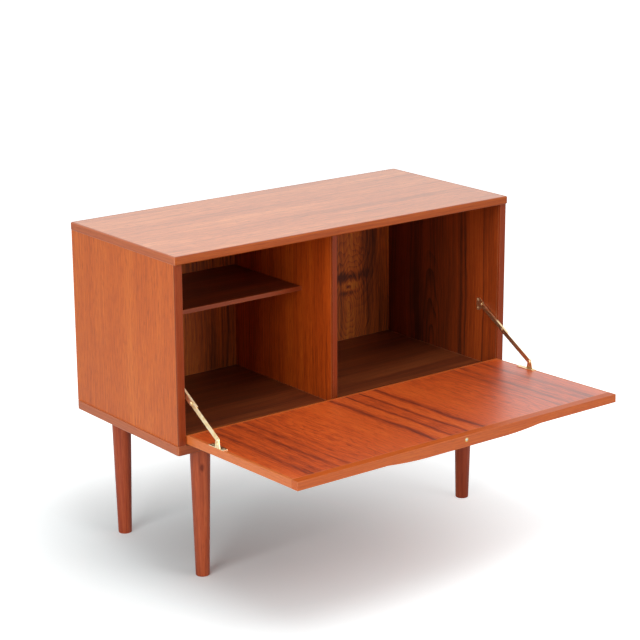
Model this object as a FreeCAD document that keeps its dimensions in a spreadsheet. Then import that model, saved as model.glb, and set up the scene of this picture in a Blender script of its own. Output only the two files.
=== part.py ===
import FreeCAD, Part
import math
import os
import re
import Sketcher

# Drop front cabinet: an open fronted carcass on four turned legs, with a divider, a shelf
# and a flap that folds down on butt hinges and hangs level on two folding brass stays.
# X runs to the right seen from the front, Y runs to the back, Z is up, the floor is Z = 0.

Vector = FreeCAD.Vector
Rotation = FreeCAD.Rotation

os.makedirs("parts", exist_ok=True)
doc = FreeCAD.newDocument("DropFrontCabinet")

# Driving dimensions, in millimetres, degrees or counts
SIZES = [
    ("top_width", 950),
    ("top_depth", 424),
    ("top_thickness", 18),
    ("cabinet_height", 754),
    ("bottom_thickness", 22),
    ("leg_height", 311),
    ("side_thickness", 18),
    ("side_overhang", 3),
    ("front_overhang", 4),
    ("back_overhang", 1.5),
    ("lipping_width", 6),
    ("corner_radius", 7),
    ("arris_radius", 3),
    ("bottom_arris_radius", 4),
    ("side_arris_radius", 2),
    ("small_arris_radius", 0.8),
    ("back_thickness", 5),
    ("back_recess", 0.5),
    ("back_rebate_width", 8),
    ("back_fit", 0.3),
    ("divider_thickness", 13),
    ("divider_centre", -21),
    ("divider_setback", 31),
    ("shelf_thickness", 10),
    ("shelf_drop", 150),
    ("shelf_setback", 148),
    ("shelf_fit", 0.3),
    ("shelf_pin_diameter", 5),
    ("shelf_pin_depth", 7),
    ("shelf_pin_reach", 8),
    ("shelf_pin_inset", 35),
    ("dowel_diameter", 8),
    ("thin_dowel_diameter", 6),
    ("dowel_length", 26),
    ("dowel_in_board", 12),
    ("dowel_end_inset", 45),
    ("dowel_end_room", 0.5),
    ("fit_clearance", 0.05),
    ("leg_top_diameter", 46.5),
    ("leg_foot_diameter", 31.5),
    ("leg_foot_radius", 2),
    ("leg_side_inset", 87.5),
    ("leg_front_inset", 50.5),
    ("stud_diameter", 8),
    ("stud_in_leg", 22),
    ("insert_diameter", 13),
    ("insert_length", 14),
    ("back_screw_diameter", 3.5),
    ("back_screw_head", 7),
    ("back_screw_length", 16),
    ("back_screw_inset", 40),
    ("flap_thickness", 19),
    ("flap_side_gap", 1.5),
    ("flap_top_gap", 1.6),
    ("flap_rise", 1.5),
    ("flap_setback", 4.5),
    ("pull_rail_width", 22),
    ("pull_length", 430),
    ("pull_flat_length", 190),
    ("pull_projection", 6.5),
    ("pull_lip_height", 7),
    ("pull_height", 20),
    ("pull_cove_radius", 16),
    ("hinge_gap", 3.4),
    ("hinge_pin_forward", 1.2),
    ("hinge_length", 95),
    ("hinge_centre", 187),
    ("hinge_barrel_diameter", 5),
    ("hinge_pin_diameter", 2.4),
    ("hinge_leaf_thickness", 1.5),
    ("hinge_leaf_reach", 17),
    ("hinge_knuckle_count", 5),
    ("hinge_knuckle_gap", 0.3),
    ("hinge_barrel_room", 0.4),
    ("hinge_screw_diameter", 3),
    ("hinge_screw_head", 5.6),
    ("hinge_screw_length", 16),
    ("hinge_screw_inset", 14),
    ("stay_plate_thickness", 1.5),
    ("stay_gap", 0.3),
    ("stay_pivot_setback", 58),
    ("stay_pivot_height", 145),
    ("stay_reach", 118.7),
    ("stay_ear_height", 17.7),
    ("upper_link_length", 88),
    ("link_width", 11.5),
    ("stop_flange_width", 5.3),
    ("stop_tab_length", 20),
    ("rivet_diameter", 4),
    ("rivet_head_diameter", 7),
    ("rivet_head_height", 1.2),
    ("rivet_crown_share", 0.7),
    ("small_head_share", 0.7),
    ("side_plate_screw_back", 12.5),
    ("side_plate_screw_spacing", 20),
    ("side_plate_margin", 5.5),
    ("foot_length", 54),
    ("foot_front", 22),
    ("foot_width", 12),
    ("foot_screw_inset", 7),
    ("ear_flare", 4),
    ("ear_rivet_diameter", 3),
    ("ear_rivet_drop", 8),
    ("stay_screw_diameter", 3.2),
    ("stay_screw_head", 6.2),
    ("stay_screw_length", 13),
    ("catch_diameter", 9.4),
    ("catch_length", 20),
    ("catch_bore", 7),
    ("catch_wall_end", 1),
    ("catch_mouth_diameter", 6),
    ("catch_mouth_depth", 0.4),
    ("catch_ball_travel", 1.4),
    ("catch_ball_diameter", 6.4),
    ("catch_ball_proud", 1.4),
    ("catch_spring_wire", 0.6),
    ("catch_spring_diameter", 5),
    ("catch_spring_turns", 6),
    ("strike_length", 34),
    ("strike_width", 12),
    ("strike_thickness", 1),
    ("strike_proud", 0.6),
    ("strike_hole_diameter", 5),
    ("strike_hole_depth", 4),
    ("strike_screw_diameter", 2.5),
    ("strike_screw_head", 4.6),
    ("strike_screw_length", 10),
    ("strike_screw_spacing", 24),
    ("screw_slot_width", 0.9),
    ("screw_slot_depth", 0.8),
    ("overrun", 2),
]
sheet = doc.addObject("Spreadsheet::Sheet", "Sizes")
for row, (size_name, value) in enumerate(SIZES, 1):
    sheet.set("A%d" % row, size_name)
    sheet.set("B%d" % row, str(value))
    sheet.setAlias("B%d" % row, size_name)
doc.recompute()
NAMES = {size_name for size_name, value in SIZES}
NODES = {}


def derive(name, formula):
    """Add a place or size that follows from the others to the sheet."""
    row = len(NAMES) + 1
    sheet.set("A%d" % row, name)
    sheet.set("B%d" % row, formula if isinstance(formula, str) else repr(formula))
    sheet.setAlias("B%d" % row, name)
    NAMES.add(name)
    doc.recompute()
    return name


def size(name):
    return float(sheet.get(name))


# Places and sizes that several pieces share. The origin is on the floor, under the middle of
# the space that the cabinet takes up with its flap open, from the top's back edge to the
# tip of the ball in the flap's free edge
OPENING = derive("opening_height",
                 "=cabinet_height - top_thickness - leg_height - bottom_thickness")
FLAP_LENGTH = derive("flap_length", "=opening_height - hinge_gap - flap_top_gap")
FLAP_TOP = derive("flap_top", "=hinge_gap / 2 + flap_length")
FLAP_IN = derive("flap_inner_face", "=hinge_pin_forward + flap_thickness")
CATCH_Y = derive("catch_centre", "=hinge_pin_forward + flap_thickness / 2")
BALL_Z = derive("ball_centre", "=flap_top + catch_ball_proud - catch_ball_diameter / 2")
rise = math.radians(size("flap_rise"))
flap_reach = (size("ball_centre") * math.cos(rise) - size("catch_centre") * math.sin(rise)
              + size("catch_ball_diameter") / 2)
derive("open_flap_reach", flap_reach)
TOP_FRONT = derive("top_front", "=(open_flap_reach + hinge_pin_forward - flap_setback"
                                " - front_overhang - top_depth) / 2")
TOP_BACK = derive("top_back", "=top_front + top_depth")
SIDE_FRONT = derive("side_front", "=top_front + front_overhang")
SIDE_BACK = derive("side_back", "=top_back - back_overhang")
SIDE_DEPTH = derive("side_depth", "=side_back - side_front")
BACK_IN = derive("back_inner_face", "=side_back - back_recess - back_thickness")
DIVIDER_FRONT = derive("divider_front", "=side_front + divider_setback")
SHELF_FRONT = derive("shelf_front", "=side_front + shelf_setback")
PIN_Y = derive("pin_across", "=side_front + flap_setback - hinge_pin_forward")
BOTTOM_TOP = derive("bottom_top", "=leg_height + bottom_thickness")
TOP_UNDER = derive("top_under", "=cabinet_height - top_thickness")
PIN_Z = derive("pin_up", "=bottom_top + hinge_gap / 2")
SHELF_TOP = derive("shelf_top", "=top_under - shelf_drop")
HALF = derive("half_width", "=top_width / 2")
SIDE_OUT = derive("side_outer_face", "=half_width - side_overhang")
SIDE_IN = derive("side_inner_face", "=side_outer_face - side_thickness")
DIVIDER_LEFT = derive("divider_left", "=divider_centre - divider_thickness / 2")
HALF_FLAP = derive("half_flap_width", "=side_inner_face - flap_side_gap")
FLAP_WIDTH = derive("flap_width", "=2 * half_flap_width")
EAR_OUT = derive("ear_outer_face", "=side_inner_face - stay_plate_thickness - stay_gap")
FOOT_LOW = derive("foot_low", "=stay_reach + foot_front - foot_length")


def in_sheet(formula):
    def swap(word):
        return "Sizes." + word.group(0) if word.group(0) in NAMES else word.group(0)
    return re.sub(r"[a-z][a-z_]*", swap, str(formula))


def bind(thing, prop, formula):
    thing.setExpression(prop, in_sheet(formula))


def place(thing, x, y, z):
    bind(thing, "Placement.Base.x", x)
    bind(thing, "Placement.Base.y", y)
    bind(thing, "Placement.Base.z", z)
    return thing


# Turns that bring a primitive's own Z axis to the named direction
TURNS = {
    "+z": Rotation(),
    "-z": Rotation(Vector(1, 0, 0), 180),
    "+x": Rotation(Vector(0, 1, 0), 90),
    "-x": Rotation(Vector(0, 1, 0), -90),
    "+y": Rotation(Vector(1, 0, 0), -90),
    "-y": Rotation(Vector(1, 0, 0), 90),
}


def box(name, x, y, z, width, depth, height):
    thing = doc.addObject("Part::Box", name)
    bind(thing, "Length", width)
    bind(thing, "Width", depth)
    bind(thing, "Height", height)
    return place(thing, x, y, z)


def rod(name, diameter, length, at, towards="+z"):
    thing = doc.addObject("Part::Cylinder", name)
    bind(thing, "Radius", "(%s) / 2" % diameter)
    bind(thing, "Height", length)
    thing.Placement = FreeCAD.Placement(Vector(), TURNS[towards])
    return place(thing, *at)


def cone(name, first_diameter, last_diameter, length, at, towards="+z"):
    thing = doc.addObject("Part::Cone", name)
    bind(thing, "Radius1", "(%s) / 2" % first_diameter)
    bind(thing, "Radius2", "(%s) / 2" % last_diameter)
    bind(thing, "Height", length)
    thing.Placement = FreeCAD.Placement(Vector(), TURNS[towards])
    return place(thing, *at)


def ball(name, diameter, at):
    thing = doc.addObject("Part::Sphere", name)
    bind(thing, "Radius", "(%s) / 2" % diameter)
    return place(thing, *at)


def group(name, parts):
    thing = doc.addObject("Part::Compound", name)
    thing.Links = parts
    return thing


def fuse(name, parts):
    thing = doc.addObject("Part::MultiFuse", name)
    thing.Shapes = parts
    thing.Refine = True
    return thing


def cut(name, base, tools):
    thing = doc.addObject("Part::Cut", name)
    thing.Base = base
    thing.Tool = tools[0] if len(tools) == 1 else group(name + "_cutters", tools)
    return thing


def common(name, first, second):
    thing = doc.addObject("Part::MultiCommon", name)
    thing.Shapes = [first, second]
    return thing


def keep(label, thing):
    thing.Label = label
    NODES[label] = thing
    return thing


def along(place_at, towards, distance):
    sign = towards[0]
    return tuple("%s %s (%s)" % (p, sign, distance) if axis == towards[1] else p
                 for axis, p in zip("xyz", place_at))


def screw(name, at, towards, head, shank, length, room="0"):
    """Countersunk screw with its head's face at the given place, or its hole with some room."""
    head_depth = "(%s - %s) / 2" % (head, shank)
    top = cone(name + "_head", "%s + 2 * %s" % (head, room), "%s + 2 * %s" % (shank, room),
               head_depth, at, towards)
    stem = rod(name + "_stem", "%s + 2 * %s" % (shank, room),
               "%s - %s + %s" % (length, head_depth, room), along(at, towards, head_depth), towards)
    return fuse(name, [top, stem])


# Sketches on a body's own planes
def plane_of(body, role):
    return [plane for plane in body.Origin.OriginFeatures if plane.Role == role][0]


def sketch_on(body, name, role, height=None):
    sketch = body.newObject("Sketcher::SketchObject", name)
    sketch.AttachmentSupport = [(plane_of(body, role), "")]
    sketch.MapMode = "FlatFace"
    if height is not None:
        bind(sketch, "AttachmentOffset.Base.z", height)
    return sketch


def fix_point(sketch, geometry, end, across, up):
    now = sketch.getPoint(geometry, end)
    first = sketch.addConstraint(Sketcher.Constraint("DistanceX", -1, 1, geometry, end, now.x))
    bind(sketch, "Constraints[%d]" % first, across)
    second = sketch.addConstraint(Sketcher.Constraint("DistanceY", -1, 1, geometry, end, now.y))
    bind(sketch, "Constraints[%d]" % second, up)


def polygon(body, name, role, points, height=None):
    """Closed outline through the points, each given by two formulas."""
    sketch = sketch_on(body, name, role, height)
    count = len(points)
    rough = [Vector(math.cos(2 * math.pi * i / count), math.sin(2 * math.pi * i / count), 0)
             for i in range(count)]
    for i in range(count):
        sketch.addGeometry(Part.LineSegment(rough[i], rough[(i + 1) % count]), False)
    for i in range(count):
        sketch.addConstraint(Sketcher.Constraint("Coincident", i, 2, (i + 1) % count, 1))
    for i, (across, up) in enumerate(points):
        fix_point(sketch, i, 1, across, up)
    return sketch


def slot(body, name, role, length, width, height=None):
    """Bar outline with round ends, centred on the origin and on a point further along."""
    sketch = sketch_on(body, name, role, height)
    up = Vector(0, 0, 1)
    start = Vector()
    end = Vector(size(length), 0, 0)
    half = Vector(0, size(width) / 2, 0)
    quarter = math.pi / 2
    first = Part.ArcOfCircle(Part.Circle(start, up, half.Length), quarter, 3 * quarter)
    second = Part.ArcOfCircle(Part.Circle(end, up, half.Length), -quarter, quarter)
    sketch.addGeometry(first, False)
    sketch.addGeometry(second, False)
    sketch.addGeometry(Part.LineSegment(start + half, end + half), False)
    sketch.addGeometry(Part.LineSegment(start - half, end - half), False)
    sketch.addConstraint(Sketcher.Constraint("Tangent", 0, 1, 2, 1))
    sketch.addConstraint(Sketcher.Constraint("Tangent", 0, 2, 3, 1))
    sketch.addConstraint(Sketcher.Constraint("Tangent", 1, 2, 2, 2))
    sketch.addConstraint(Sketcher.Constraint("Tangent", 1, 1, 3, 2))
    sketch.addConstraint(Sketcher.Constraint("Equal", 0, 1))
    sketch.addConstraint(Sketcher.Constraint("Coincident", 0, 3, -1, 1))
    sketch.addConstraint(Sketcher.Constraint("PointOnObject", 1, 3, -1))
    radius = sketch.addConstraint(Sketcher.Constraint("Radius", 0, half.Length))
    bind(sketch, "Constraints[%d]" % radius, "%s / 2" % width)
    reach = sketch.addConstraint(Sketcher.Constraint("DistanceX", 0, 3, 1, 3, end.x))
    bind(sketch, "Constraints[%d]" % reach, length)
    return sketch


def pad(body, sketch, length, name):
    feature = body.newObject("PartDesign::Pad", name)
    feature.Profile = sketch
    bind(feature, "Length", length)
    body.Tip = feature
    return feature


def new_body(name):
    return doc.addObject("PartDesign::Body", name)


def board(name, x, y, z, width, depth, height):
    """Plain board: a rectangle on the XY plane, padded upwards."""
    body = new_body(name)
    plan = polygon(body, name + "_plan", "XY_Plane",
                   [("0", "0"), (width, "0"), (width, depth), ("0", depth)])
    pad(body, plan, height, name + "_pad")
    place(body, x, y, z)
    return body


def soften(body, radius, wanted, name):
    """Round the edges of a body that the test names."""
    doc.recompute()
    base = body.Tip
    limits = base.Shape.BoundBox
    picked = ["Edge%d" % (i + 1) for i, edge in enumerate(base.Shape.Edges)
              if wanted(edge, limits)]
    if not picked:
        raise RuntimeError("no edge to round on " + name)
    rounding = body.newObject("PartDesign::Fillet", name)
    rounding.Base = (base, picked)
    bind(rounding, "Radius", radius)
    body.Tip = rounding
    doc.recompute()
    if rounding.State != ["Up-to-date"]:
        raise RuntimeError("rounding failed: " + name)


def runs_along(edge, axis):
    if edge.Curve.TypeId != "Part::GeomLine":
        return False
    way = edge.tangentAt(edge.FirstParameter)
    return abs(getattr(way, axis)) > 0.99


def near(first, second):
    return abs(first - second) < 1e-4 * size("top_width")


def middle(edge):
    return edge.BoundBox.Center


def upright_at_corner(edge, limits):
    return runs_along(edge, "z")


def at_level(level):
    def wanted(edge, limits):
        return (near(edge.BoundBox.ZMin, getattr(limits, level))
                and near(edge.BoundBox.ZMax, getattr(limits, level)))
    return wanted


# Boards with solid edge strips: one rounded blank, cut along the strips' mitres
def strip_region(name, points, low, high):
    body = new_body(name)
    plan = polygon(body, name + "_plan", "XY_Plane", points)
    pad(body, plan, "%s - %s + 2 * overrun" % (high, low), name + "_pad")
    place(body, "0", "0", "%s - overrun" % low)
    return body


def edged_board(prefix, half, front, back, low, high, upper_radius, lower_radius, with_back):
    blank = board(prefix + "_blank", "-(%s)" % half, front, low, "2 * (%s)" % half,
                  "%s - %s" % (back, front), "%s - %s" % (high, low))
    soften(blank, "corner_radius", upright_at_corner, prefix + "_corners")
    soften(blank, upper_radius, at_level("ZMax"), prefix + "_upper_arris")
    soften(blank, lower_radius, at_level("ZMin"), prefix + "_lower_arris")
    left_out = "-(%s) - overrun" % half
    right_out = "%s + overrun" % half
    left_in = "-(%s) + lipping_width" % half
    right_in = "%s - lipping_width" % half
    front_out = "%s - overrun" % front
    front_in = "%s + lipping_width" % front
    back_out = "%s + overrun" % back
    back_in = "%s - lipping_width" % back if with_back else back_out
    regions = {
        "front_lipping": [(left_out, front_out), (right_out, front_out),
                          (right_in, front_in), (left_in, front_in)],
        "left_lipping": [(left_out, front_out), (left_in, front_in),
                         (left_in, back_in), (left_out, back_out)],
        "right_lipping": [(right_in, front_in), (right_out, front_out),
                          (right_out, back_out), (right_in, back_in)],
        "panel": [(left_in, front_in), (right_in, front_in),
                  (right_in, back_in), (left_in, back_in)],
    }
    if with_back:
        regions["back_lipping"] = [(left_in, back_in), (right_in, back_in),
                                   (right_out, back_out), (left_out, back_out)]
    pieces = {}
    for part, points in regions.items():
        region = strip_region("%s_%s_region" % (prefix, part), points, low, high)
        pieces[part] = common("%s_%s_form" % (prefix, part), blank, region)
    return pieces


# Joints between the boards
def dowel_places():
    """Which board each dowel stands in, its end, its lower end's place and its diameter."""
    side_x = "(side_outer_face - side_thickness / 2)"
    front = "divider_front + dowel_end_inset"
    back = "back_inner_face - dowel_end_inset"
    ends = {"low": "bottom_top - dowel_in_board",
            "high": "top_under + dowel_in_board - dowel_length"}
    return [(owner, end, (x, y, z), diameter)
            for owner, x, diameter in (("left", "-" + side_x, "dowel_diameter"),
                                       ("right", side_x, "dowel_diameter"),
                                       ("divider", "divider_centre", "thin_dowel_diameter"))
            for y in (front, "(%s + %s) / 2" % (front, back), back)
            for end, z in ends.items()]


DOWELS = dowel_places()


def dowel_bores(name, wanted):
    """Bores for the dowels of one board, or for those at one end of all the boards."""
    return [rod("%s_%d" % (name, i), "%s + 2 * fit_clearance" % diameter,
                "dowel_length + 2 * dowel_end_room", (x, y, "%s - dowel_end_room" % z))
            for i, (owner, end, (x, y, z), diameter) in enumerate(DOWELS, 1)
            if wanted in (owner, end)]


keep("carcass_dowels", group("carcass_dowels", [
    rod("dowel_%d" % i, diameter, "dowel_length", at)
    for i, (owner, end, at, diameter) in enumerate(DOWELS, 1)]))

LEG_PLACES = {
    "front_left_leg": ("leg_side_inset - half_width", "top_front + leg_front_inset"),
    "front_right_leg": ("half_width - leg_side_inset", "top_front + leg_front_inset"),
    "back_left_leg": ("leg_side_inset - half_width", "top_back - leg_front_inset"),
    "back_right_leg": ("half_width - leg_side_inset", "top_back - leg_front_inset"),
}

SCREW_SIZES = {
    "back": ("back_screw_head", "back_screw_diameter", "back_screw_length"),
    "hinge": ("hinge_screw_head", "hinge_screw_diameter", "hinge_screw_length"),
    "stay": ("stay_screw_head", "stay_screw_diameter", "stay_screw_length"),
    "strike": ("strike_screw_head", "strike_screw_diameter", "strike_screw_length"),
}


def screw_holes(name, kind, places, towards):
    head, shank, length = SCREW_SIZES[kind]
    return [screw("%s_%d" % (name, i), at, towards, head, shank, length, "fit_clearance")
            for i, at in enumerate(places, 1)]


def screws(name, kind, places, towards):
    """Slotted countersunk screws."""
    head, shank, length = SCREW_SIZES[kind]
    made = []
    for i, at in enumerate(places, 1):
        plain = screw("%s_%d" % (name, i), at, towards, head, shank, length)
        long_way = "y" if towards[1] == "x" else "x"
        sizes = []
        corner = []
        for axis, middle_at in zip("xyz", at):
            if axis == towards[1]:
                sizes.append("2 * screw_slot_depth")
                corner.append("%s - screw_slot_depth" % middle_at)
            elif axis == long_way:
                sizes.append("2 * (%s)" % head)
                corner.append("%s - %s" % (middle_at, head))
            else:
                sizes.append("screw_slot_width")
                corner.append("%s - screw_slot_width / 2" % middle_at)
        kerf = box("%s_slot_%d" % (name, i), *(corner + sizes))
        made.append(cut("%s_slotted_%d" % (name, i), plain, [kerf]))
    return made


# Screw places on the carcass
HINGE_SIDES = {"left": "-hinge_centre", "right": "hinge_centre"}
LEAF_SCREW_OFF = "(hinge_barrel_diameter / 2 + hinge_leaf_reach) / 2"


def leaf_screw_xs():
    across = []
    for centre in HINGE_SIDES.values():
        for side in ("-", "+"):
            across.append("%s %s (hinge_length / 2 - hinge_screw_inset)" % (centre, side))
        across.append(centre)
    return across


BOTTOM_LEAF_SCREWS = [(x, "%s + %s" % (PIN_Y, LEAF_SCREW_OFF),
                       "%s + hinge_leaf_thickness" % BOTTOM_TOP) for x in leaf_screw_xs()]
FLAP_LEAF_SCREWS = [(x, LEAF_SCREW_OFF, "hinge_gap / 2 - hinge_leaf_thickness")
                    for x in leaf_screw_xs()]
BACK_SCREW_XS = ["-(%s + back_rebate_width / 2)" % SIDE_IN, "divider_centre",
                 "%s + back_rebate_width / 2" % SIDE_IN]
BACK_SCREW_ROWS = 4
BACK_SCREWS = [(x, "%s + back_thickness" % BACK_IN,
                "%s + back_screw_inset + %d / %d * (%s - 2 * back_screw_inset)"
                % (BOTTOM_TOP, row, BACK_SCREW_ROWS - 1, OPENING))
               for x in BACK_SCREW_XS for row in range(BACK_SCREW_ROWS)]
PIVOT_Y = "(%s + stay_pivot_setback)" % SIDE_FRONT
PIVOT_Z = "(%s + stay_pivot_height)" % BOTTOM_TOP
SIDE_PLATE_IN = "(%s - stay_plate_thickness)" % SIDE_IN


def side_plate_screws(sign):
    return [("%s%s" % (sign, SIDE_PLATE_IN), "%s + side_plate_screw_back" % PIVOT_Y,
             "%s %s side_plate_screw_spacing / 2" % (PIVOT_Z, way)) for way in ("-", "+")]


# Top panel with a mitred solid strip on all four edges
STRIKE_Y = derive("strike_centre", "=pin_across + catch_centre")
STRIKE_Z = derive("strike_face", "=top_under - strike_proud")
STRIKE_SCREWS = [("%s strike_screw_spacing / 2" % way, STRIKE_Y, STRIKE_Z) for way in ("-", "+")]
top = edged_board("top", HALF, TOP_FRONT, TOP_BACK, TOP_UNDER, "cabinet_height",
                  "arris_radius", "arris_radius", True)
strike_pocket = box("strike_pocket", "-strike_length / 2 - fit_clearance",
                    "%s - strike_width / 2 - fit_clearance" % STRIKE_Y, "%s - overrun" % TOP_UNDER,
                    "strike_length + 2 * fit_clearance", "strike_width + 2 * fit_clearance",
                    "overrun + strike_thickness - strike_proud")
strike_bore = rod("strike_bore", "strike_hole_diameter", "strike_hole_depth + overrun",
                  ("0", STRIKE_Y, "%s - overrun" % TOP_UNDER))
top_cutters = ([strike_pocket, strike_bore]
               + dowel_bores("top_bore", "high")
               + screw_holes("strike_screw_hole", "strike", STRIKE_SCREWS, "+z"))
keep("top_panel", cut("top_panel", top["panel"], top_cutters))
for part in ("front", "back", "left", "right"):
    keep("top_%s_lipping" % part, top[part + "_lipping"])

# Strike plate for the ball catch, let into the underside of the top
strike_blank = board("strike_blank", "-strike_length / 2", "%s - strike_width / 2" % STRIKE_Y,
                     STRIKE_Z, "strike_length", "strike_width", "strike_thickness")
soften(strike_blank, "strike_width / 4", upright_at_corner, "strike_corners")
strike_hole = rod("strike_hole", "strike_hole_diameter", "strike_thickness + 2 * overrun",
                  ("0", STRIKE_Y, "%s - overrun" % STRIKE_Z))
keep("strike_plate", cut("strike_plate", strike_blank, [strike_hole] + screw_holes(
    "strike_plate_hole", "strike", STRIKE_SCREWS, "+z")))
keep("strike_plate_screws", group("strike_plate_screws", screws(
    "strike_screw", "strike", STRIKE_SCREWS, "+z")))

# Bottom panel, edged on the front and the sides, with its back in line with the back panel
bottom = edged_board("bottom", HALF, SIDE_FRONT, SIDE_BACK, "leg_height", BOTTOM_TOP,
                     "small_arris_radius", "bottom_arris_radius", False)
barrel_notches = [rod("bottom_barrel_notch_%s" % side,
                      "hinge_barrel_diameter + 2 * hinge_barrel_room",
                      "hinge_length + 2 * hinge_barrel_room",
                      ("%s - hinge_length / 2 - hinge_barrel_room" % centre, PIN_Y, PIN_Z), "+x")
                  for side, centre in HINGE_SIDES.items()]
insert_bores = []
for number, (x, y) in enumerate(LEG_PLACES.values(), 1):
    insert_bores.append(rod("insert_bore_%d" % number, "insert_diameter + 2 * fit_clearance",
                            "insert_length + dowel_end_room + overrun",
                            (x, y, "leg_height - overrun")))
keep("bottom_panel", cut("bottom_panel", bottom["panel"], insert_bores
     + dowel_bores("bottom_bore", "low")
     + screw_holes("bottom_hinge_hole", "hinge", BOTTOM_LEAF_SCREWS, "-z")))
keep("bottom_front_lipping", cut("bottom_front_lipping", bottom["front_lipping"], barrel_notches))
keep("bottom_left_lipping", bottom["left_lipping"])
keep("bottom_right_lipping", bottom["right_lipping"])


# Side panels, rebated for the back, each with a rounded strip on its front edge
def side_panel(side, sign):
    low_x = SIDE_IN if sign == "+" else "-%s" % SIDE_OUT
    blank = board(side + "_side_blank", low_x, "%s + lipping_width" % SIDE_FRONT, BOTTOM_TOP,
                  "side_thickness", "%s - lipping_width" % SIDE_DEPTH, OPENING)
    rebate_x = "%s - overrun" % SIDE_IN if sign == "+" else "-%s - back_rebate_width" % SIDE_IN
    rebate = box(side + "_rebate", rebate_x, BACK_IN, "%s - overrun" % BOTTOM_TOP,
                 "back_rebate_width + overrun", "back_thickness + back_recess + overrun",
                 "%s + 2 * overrun" % OPENING)
    letter = "-" if sign == "-" else ""
    own_screws = [at for at in BACK_SCREWS
                  if at[0] != "divider_centre" and at[0].startswith("-") == (sign == "-")]
    cutters = [rebate]
    cutters += dowel_bores(side + "_bore", side)
    cutters += screw_holes(side + "_back_hole", "back", own_screws, "-y")
    cutters += screw_holes(side + "_stay_hole", "stay", side_plate_screws(letter), sign + "x")
    if sign == "-":
        cutters += shelf_pin_rods("left_pin_bore", "left", "2 * fit_clearance")
    keep(side + "_side_panel", cut(side + "_side_panel", blank, cutters))
    strip = board(side + "_side_strip", low_x, SIDE_FRONT, BOTTOM_TOP,
                  "side_thickness", "lipping_width", OPENING)

    def outer(edge, limits):
        return (runs_along(edge, "z") and near(middle(edge).y, limits.YMin)
                and near(middle(edge).x, limits.XMax if sign == "+" else limits.XMin))

    def inner(edge, limits):
        return (runs_along(edge, "z") and near(middle(edge).y, limits.YMin)
                and near(middle(edge).x, limits.XMin if sign == "+" else limits.XMax))
    soften(strip, "side_arris_radius", outer, side + "_side_arris")
    soften(strip, "small_arris_radius", inner, side + "_side_inner_arris")
    keep(side + "_side_front_lipping", strip)


def shelf_pin_rods(name, side, extra="0"):
    """The shelf's pins, or their bores, in the left side or in the divider."""
    wall = "-%s" % SIDE_IN if side == "left" else DIVIDER_LEFT
    start = "%s - shelf_pin_depth" % wall if side == "left" else "%s - shelf_pin_reach" % wall
    length = "shelf_pin_depth + shelf_pin_reach"
    z = "%s - shelf_thickness - shelf_pin_diameter / 2" % SHELF_TOP
    ys = ("%s + shelf_pin_inset" % SHELF_FRONT, "%s - shelf_pin_inset" % BACK_IN)
    return [rod("%s_%d" % (name, i), "shelf_pin_diameter + %s" % extra, length, (start, y, z), "+x")
            for i, y in enumerate(ys, 1)]


side_panel("left", "-")
side_panel("right", "+")

# Back panel in the rebates, and its screws
back_blank = board("back_blank", "-%s - back_rebate_width + back_fit" % SIDE_IN, BACK_IN,
                   BOTTOM_TOP, "2 * (%s + back_rebate_width - back_fit)" % SIDE_IN,
                   "back_thickness", OPENING)
keep("back_panel", cut("back_panel", back_blank, screw_holes(
    "back_panel_hole", "back", BACK_SCREWS, "-y")))
keep("back_panel_screws", group("back_panel_screws", screws(
    "back_screw", "back", BACK_SCREWS, "-y")))

# Divider with its front strip
divider_blank = board("divider_blank", DIVIDER_LEFT, "%s + lipping_width" % DIVIDER_FRONT,
                      BOTTOM_TOP, "divider_thickness",
                      "%s - %s - lipping_width" % (BACK_IN, DIVIDER_FRONT), OPENING)
divider_screws = [at for at in BACK_SCREWS if at[0] == "divider_centre"]
divider_cutters = (dowel_bores("divider_bore", "divider")
                   + screw_holes("divider_back_hole", "back", divider_screws, "-y")
                   + shelf_pin_rods("divider_pin_bore", "divider", "2 * fit_clearance"))
keep("divider_panel", cut("divider_panel", divider_blank, divider_cutters))
divider_strip = board("divider_strip", DIVIDER_LEFT, DIVIDER_FRONT, BOTTOM_TOP,
                      "divider_thickness", "lipping_width", OPENING)
soften(divider_strip, "small_arris_radius",
       lambda edge, limits: runs_along(edge, "z") and near(middle(edge).y, limits.YMin),
       "divider_arris")
keep("divider_lipping", divider_strip)

# Shelf on four pins
shelf_left = "-%s + shelf_fit" % SIDE_IN
shelf_width = "%s + %s - 2 * shelf_fit" % (DIVIDER_LEFT, SIDE_IN)
shelf_under = "%s - shelf_thickness" % SHELF_TOP
keep("shelf_panel", board("shelf_panel", shelf_left, "%s + lipping_width" % SHELF_FRONT,
                          shelf_under, shelf_width,
                          "%s - %s - lipping_width" % (BACK_IN, SHELF_FRONT), "shelf_thickness"))
shelf_strip = board("shelf_strip", shelf_left, SHELF_FRONT, shelf_under, shelf_width,
                    "lipping_width", "shelf_thickness")
soften(shelf_strip, "small_arris_radius",
       lambda edge, limits: runs_along(edge, "x") and near(middle(edge).y, limits.YMin),
       "shelf_arris")
keep("shelf_lipping", shelf_strip)
keep("shelf_pins", group("shelf_pins", shelf_pin_rods("left_pin", "left")
                         + shelf_pin_rods("divider_pin", "divider")))


# Turned legs: a tapered shaft with a rounded foot, bored for its stud
def leg(label, x, y):
    body = new_body(label + "_turning")
    profile = polygon(body, label + "_profile", "XZ_Plane", [
        ("0", "0"), ("leg_foot_diameter / 2", "0"), ("leg_top_diameter / 2", "leg_height"),
        ("0", "leg_height")])
    turning = body.newObject("PartDesign::Revolution", label + "_revolution")
    turning.Profile = profile
    turning.ReferenceAxis = (profile, ["V_Axis"])
    turning.Angle = 360
    body.Tip = turning
    place(body, x, y, "0")
    soften(body, "leg_foot_radius", at_level("ZMin"), label + "_foot")
    bore = rod(label + "_bore", "stud_diameter + 2 * fit_clearance",
               "stud_in_leg + dowel_end_room + overrun",
               (x, y, "leg_height - stud_in_leg - dowel_end_room"))
    keep(label, cut(label, body, [bore]))


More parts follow.
